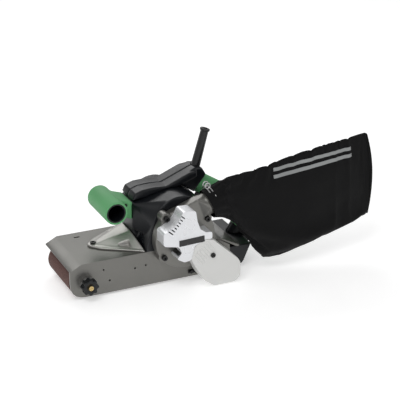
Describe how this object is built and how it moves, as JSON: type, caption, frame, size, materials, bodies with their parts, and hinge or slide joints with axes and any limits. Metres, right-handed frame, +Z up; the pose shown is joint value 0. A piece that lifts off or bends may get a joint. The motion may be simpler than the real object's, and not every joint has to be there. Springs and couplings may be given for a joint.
{
  "type": "handheld belt sander",
  "caption": "Handheld belt sander with a wide abrasive belt, soft front and rear handles, drive-belt cover, tracking knob and a cloth dust bag.",
  "frame": {"origin": "centre of the flat sanding face, midway between the two rollers", "axes": "+X to the rear (dust bag), -Y the side with the drive-belt cover, +Z up, away from the work"},
  "size_m": [0.5448, 0.1722, 0.2375],
  "materials": {
    "grey_casting": "satin cast and painted",
    "bright_casting": "polished casting",
    "silver_cover": "metallic silver paint",
    "pale_cover": "satin moulded plastic",
    "black_plastic": "semi-gloss moulded plastic",
    "soft_green": "soft grip with fine texture",
    "black_rubber": "satin rubber",
    "abrasive": "aluminium-oxide grain on cloth",
    "steel": "machined",
    "black_steel": "black oxide",
    "machined_aluminium": "turned",
    "copper": "enamelled wire and bars",
    "brass": "turned",
    "carbon": "carbon",
    "cork": "cork and rubber",
    "bag_cloth": "tight woven cloth",
    "red_plastic": "moulded",
    "plate_black": "printed foil"
  },
  "bodies": {
    "frame": {"frame": "grey_casting", "rear_hood": "grey_casting", "rear_shroud": "black_plastic", "nose_bracket": "bright_casting", "bracket_screw": "black_steel", "cork_pad": "cork", "sanding_plate": "steel", "plate_screws": "steel", "drive_bearings": "steel", "drive_belt": "black_rubber", "motor_bearings": "steel", "stator_core": "black_steel", "field_coils": "copper", "carbon_brushes": "carbon", "brush_caps": "black_plastic", "motor_housing": "black_plastic", "end_cap": "black_plastic", "fan_housing": "grey_casting", "housing_screws": "black_steel", "fan_cover": "silver_cover", "name_plate": "plate_black", "belt_cover": "pale_cover", "cover_screw": "black_steel", "tension_spring": "steel", "lever_pin": "steel", "tracking_collar": "steel", "front_handle_core": "black_plastic", "front_grip": "soft_green", "front_handle_screw": "black_steel", "handle_shell_near": "black_plastic", "handle_shell_far": "black_plastic", "rear_grip": "soft_green", "switch_body": "black_plastic", "cord_guard": "black_rubber", "side_clamp": "black_steel"},
    "drive_roller": {"drive_roller": "machined_aluminium", "roller_lagging": "black_rubber", "drive_shaft": "steel", "driven_pulley": "machined_aluminium", "pulley_nut": "steel"},
    "armature": {"motor_pulley": "steel", "armature_shaft": "steel", "armature_core": "black_steel", "end_windings": "copper", "commutator": "copper", "dust_fan": "machined_aluminium"},
    "idler_yoke": {"idler_yoke": "black_steel", "idler_axle": "steel"},
    "idler_roller": {"idler_roller": "machined_aluminium", "idler_bearings": "steel"},
    "tension_lever": {"tension_lever": "black_steel"},
    "tracking_knob": {"tracking_knob": "black_plastic", "tracking_screw": "brass"},
    "trigger": {"trigger": "black_plastic"},
    "lock_button": {"lock_button": "red_plastic"},
    "speed_dial": {"speed_dial": "black_plastic"},
    "dust_bag": {"dust_bag": "bag_cloth", "bag_collar": "black_rubber", "wire_clip": "steel"},
    "abrasive_belt": {"abrasive_belt": "abrasive"}
  },
  "joints": [
    {"name": "drive_spin", "type": "hinge", "parent": "frame", "child": "drive_roller", "pos_m": [0.1104, 0, 0.0273], "axis": [0, 1, 0], "continuous": true},
    {"name": "motor_spin", "type": "hinge", "parent": "frame", "child": "armature", "pos_m": [0.0534, 0, 0.1], "axis": [0, 1, 0], "continuous": true},
    {"name": "idler_spin", "type": "hinge", "parent": "idler_yoke", "child": "idler_roller", "pos_m": [-0.1104, 0, 0.0273], "axis": [0, 1, 0], "continuous": true},
    {"name": "lever_swing", "type": "hinge", "parent": "frame", "child": "tension_lever", "pos_m": [-0.0434, 0.0575, 0.0273], "axis": [0, 0, -1], "range_deg": [0, 75]},
    {"name": "yoke_slide", "type": "slide", "parent": "frame", "child": "idler_yoke", "axis": [1, 0, 0], "range_m": [0, 0.006], "deforming": ["tension_spring"]},
    {"name": "knob_turn", "type": "hinge", "parent": "frame", "child": "tracking_knob", "pos_m": [-0.1104, -0.07, 0.0273], "axis": [0, -1, 0], "range_deg": [-180, 180]},
    {"name": "trigger_pull", "type": "slide", "parent": "frame", "child": "trigger", "axis": [0.5373, 0, 0.8434], "range_m": [0, 0.005], "stiffness_N_per_m": 800},
    {"name": "lock_press", "type": "slide", "parent": "frame", "child": "lock_button", "axis": [0, -1, 0], "range_m": [0, 0.0025], "stiffness_N_per_m": 400},
    {"name": "dial_turn", "type": "hinge", "parent": "frame", "child": "speed_dial", "pos_m": [0.0984, 0.02, 0.15], "axis": [0, 1, 0], "range_deg": [0, 270]},
    {"name": "bag_pull", "type": "slide", "parent": "frame", "child": "dust_bag", "axis": [0.9397, 0, 0.342], "range_m": [0, 0.045]},
    {"name": "belt_change", "type": "slide", "parent": "frame", "child": "abrasive_belt", "axis": [0, 1, 0], "range_m": [0, 0.11]}
  ],
  "couplings": [
    {"joint": "motor_spin", "follows": "drive_spin", "ratio": 2.8571},
    {"joint": "idler_spin", "follows": "drive_spin", "ratio": 1},
    {"joint": "lever_swing", "follows": "yoke_slide", "rad_per_m": 218.17}
  ]
}
